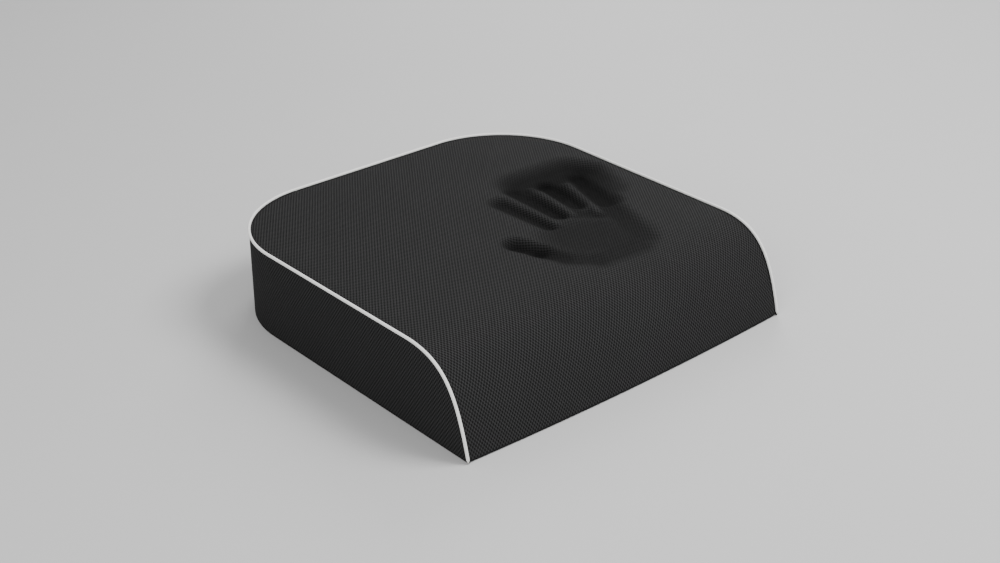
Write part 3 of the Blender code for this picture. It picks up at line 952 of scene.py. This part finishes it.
def plate(name, outline, low, high, bevel):
    """A flat (x, z) outline with thickness along y and eased edges."""
    count = len(outline)
    points = [(x, low, z) for x, z in outline] + [(x, high, z) for x, z in outline]
    faces = [tuple(range(count)), tuple(range(count, 2 * count))[::-1]]
    for step in range(count):
        after = (step + 1) % count
        faces.append((step, step + count, after + count, after))
    made = mesh_object(name, points, faces)
    face_outward(made.data)
    edge = made.modifiers.new("Edge", "BEVEL")
    edge.width = bevel
    edge.segments = 2
    edge.limit_method = "ANGLE"
    edge.angle_limit = math.radians(40)
    bpy.context.view_layer.update()
    apply_modifiers(made)
    return made


def rounded(low_x, high_x, half_low, half_high, corner):
    """A rounded (x, z) outline round the chain, half_low tall at low_x and half_high at high_x."""
    outline = []
    centres = [
        (high_x - corner, half_high - corner, 0), (low_x + corner, half_low - corner, 90),
        (low_x + corner, -half_low + corner, 180), (high_x - corner, -half_high + corner, 270),
    ]
    for x, z, first in centres:
        for step in range(6):
            turn = math.radians(first + 18 * step)
            outline.append((x + corner * math.cos(turn), CHAIN_Z + z + corner * math.sin(turn)))
    return outline


def make_slider():
    """The zip slider: two shaped plates, curled edges, a post between the rows and a bridge."""
    low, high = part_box("zipper_slider")
    half = (high[2] - low[2]) / 2
    inner_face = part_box("zipper_tape_upper")[0][1] - CLEARANCE
    face = HALF_DEPTH + CLEARANCE
    outline = rounded(low[0], high[0], half - 0.0006, half, 0.0022)
    top = plate("zip_slider", outline, face, face + SLIDER_PLATE, 0.0002)
    back = plate("slider_back", outline, inner_face - SLIDER_PLATE, inner_face, 0.0002)
    middle = (low[0] + high[0]) / 2
    post = plate(
        "slider_post", rounded(middle - 0.002, middle + 0.002, 0.00025, 0.00025, 0.0002),
        inner_face - 0.0004, face + 0.0004, 0.00005,
    )
    pieces = [top, back, post]
    tape_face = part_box("zipper_tape_upper")[1][1]
    for side in (-1, 1):
        edge = [
            (x, CHAIN_Z + side * level) for x, level in (
                (low[0] + 0.0014, half - 0.0008), (high[0] - 0.0014, half - 0.0003),
                (high[0] - 0.0014, half - 0.0009), (low[0] + 0.0014, half - 0.00089),
            )
        ]
        pieces.append(plate(f"slider_edge_{side}", edge, tape_face + CLEARANCE, face + 0.0004, 0.00005))
    arch = []
    reach, rise = 0.0032, 0.0030
    for step in range(25):
        turn = math.pi * step / 24
        shape = (abs(math.cos(turn)) ** 0.55) * math.copysign(1, math.cos(turn))
        out = face + 0.0006 + (rise + 0.0002) * math.sin(turn) ** 0.6
        arch.append((middle - reach * shape, out, CHAIN_Z))
    pieces.append(sweep("slider_bridge", arch, 0.00055, 10))
    slider = join("zip_slider", pieces)
    return dress(slider, ZIP_METAL, body="slider", replaces=["zipper_slider"], smooth=False)


def make_pull():
    """The pull tab: a rounded plate with a window for the bridge and a grip hollow."""
    low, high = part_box("zipper_pull")
    half = (high[2] - low[2]) / 2
    thin = (high[1] - low[1]) / 2
    hinge_y = (low[1] + high[1]) / 2
    tab = plate(
        "zip_pull", rounded(low[0], high[0] - 0.0052, half, half - 0.0006, 0.0020),
        hinge_y - thin, hinge_y + thin, 0.0002,
    )
    rim = []
    for x, z in rounded(low[0] + 0.0024, high[0] - 0.0090, half - 0.0012, half - 0.0016, 0.0012):
        rim.append((x, hinge_y + thin, z))
    ridge = sweep("pull_ridge", np.array([*rim, rim[0], rim[1]]), 0.00022, 6)
    loop = []
    for step in range(33):
        turn = math.radians(-150 + 300 * step / 32)
        x = high[0] - 0.0033 + 0.0029 * math.copysign(abs(math.cos(turn)) ** 0.5, math.cos(turn))
        z = CHAIN_Z + 0.0026 * math.copysign(abs(math.sin(turn)) ** 0.6, math.sin(turn))
        loop.append((x, hinge_y, z))
    ring = sweep("pull_ring", loop, 0.00048, 8)
    pull = join("zip_pull", [tab, ridge, ring])
    return dress(pull, ZIP_METAL, body="pull", replaces=["zipper_pull"], smooth=False)


def make_stop(name, node):
    """A crimped metal end stop with eased edges."""
    low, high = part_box(node)
    outline = [(low[0], low[2]), (high[0], low[2]), (high[0], high[2]), (low[0], high[2])]
    body = plate(name, outline, low[1], high[1], 0.0004)
    return dress(body, ZIP_METAL, replaces=[node], smooth=False)


def make_zip_stitching():
    """Topstitching beside the zip and along its ends, with a dense bar at each end."""
    ends = []
    for level in (SLOT_HIGH + 0.0022, SLOT_LOW - 0.0022, SLOT_HIGH + 0.0072, SLOT_LOW - 0.0072):
        x = -STRIP_REACH + 0.004
        while x < STRIP_REACH - 0.006:
            ends.append(((x, HALF_DEPTH + 0.00005, level), (x + STITCH_LENGTH, HALF_DEPTH + 0.00005, level)))
            x += STITCH_PITCH
    for end in (-1, 1):
        for row in range(9):
            x = end * (STRIP_REACH - 0.0030 - 0.00035 * row)
            y = HALF_DEPTH + 0.00012
            ends.append(((x, y, SLOT_LOW - 0.003), (x, y, SLOT_HIGH + 0.003)))
    return dress(stitches("zip_topstitching", ends, 0.00022), BLACK_THREAD)


def make_label():
    """The blank satin label, caught in the seam and a little curled."""
    low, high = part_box("care_label")
    x = np.linspace(low[0], high[0], 31)
    line = np.linspace(low[2], high[2], 19)
    grid_x, grid_z = np.meshgrid(x, line)
    free = (high[0] - grid_x) / (high[0] - low[0])
    across = (grid_z - low[2]) / (high[2] - low[2]) - 0.5
    y = high[1] - 0.0001 + free**2 * (0.0016 + 0.0012 * across) + 0.0003 * np.sin(free * 5) * free
    points = np.stack([grid_x, y, grid_z], axis=-1)
    uv = np.stack([grid_x, grid_z], axis=-1)
    label = grid_object("care_label_satin", points, uv, flip=True)
    thicken(label, 0.0003)
    dress(label, LABEL_SATIN, body="label", replaces=["care_label"])


make_top()
make_side(-1)
make_side(1)
make_strip("cover_strip_upper", SLOT_HIGH, HEIGHT - 0.0015, True, "back_strip_upper")
make_strip("cover_strip_lower", SEAM_Z - HEM_DROP, SLOT_LOW, False, "back_strip_lower")
make_bottom()
make_grip_dots()
make_piping()
make_core()
for side, row in ((1, "upper"), (-1, "lower")):
    make_tape("zip_tape_" + row, "zipper_tape_" + row)
    make_coil("zip_coil_" + row, "zipper_coil_" + row, side)
    make_stop("zip_top_stop_" + row, "zipper_top_stop_" + row)
make_stop("zip_bottom_stop", "zipper_bottom_stop")
make_slider()
make_pull()
make_zip_stitching()
make_label()


# ---------------------------------------------------------------- studio
def area_light(name, place, target, size, power):
    """A soft square lamp aimed at a point."""
    data = bpy.data.lights.new(name, "AREA")
    data.shape = "SQUARE"
    data.size = size
    data.energy = power
    lamp = new_object(name, data)
    lamp.location = place
    lamp.rotation_euler = (Vector(target) - Vector(place)).to_track_quat("-Z", "Y").to_euler()
    return lamp


def make_studio():
    """A plain pale floor, a pale world and three soft lamps."""
    corners = [(x * FLOOR_REACH, y * FLOOR_REACH, 0) for x, y in ((-1, -1), (1, -1), (1, 1), (-1, 1))]
    floor = mesh_object("studio_floor", corners, [(0, 1, 2, 3)])
    floor.data.materials.append(pale_floor())
    world = bpy.data.worlds.new("studio")
    bpy.context.scene.world = world
    world.use_nodes = True
    world.node_tree.nodes["Background"].inputs["Color"].default_value = (1, 1, 1, 1)
    world.node_tree.nodes["Background"].inputs["Strength"].default_value = 0.6
    area_light("key", (1.1, -1.0, 2.1), LAMP_TARGET, 1.2, 66)
    area_light("back", (1.5, 1.3, 1.2), LAMP_TARGET, 0.9, 16)
    area_light("fill", (-1.8, -1.1, 1.4), LAMP_TARGET, 1.5, 32)


def make_camera():
    """The camera, three-quarter from the front left and a little above."""
    data = bpy.data.cameras.new("camera")
    data.sensor_width = 36
    data.lens = 57.95
    data.shift_x = 0.0073
    data.shift_y = -0.0069
    camera = new_object("camera", data)
    away = Vector((
        math.sin(CAMERA_AZIMUTH) * math.cos(CAMERA_ELEVATION),
        -math.cos(CAMERA_AZIMUTH) * math.cos(CAMERA_ELEVATION),
        math.sin(CAMERA_ELEVATION),
    ))
    camera.location = CAMERA_TARGET + away * CAMERA_DISTANCE
    camera.rotation_euler = (-away).to_track_quat("-Z", "Y").to_euler()
    bpy.context.scene.camera = camera


make_studio()
make_camera()
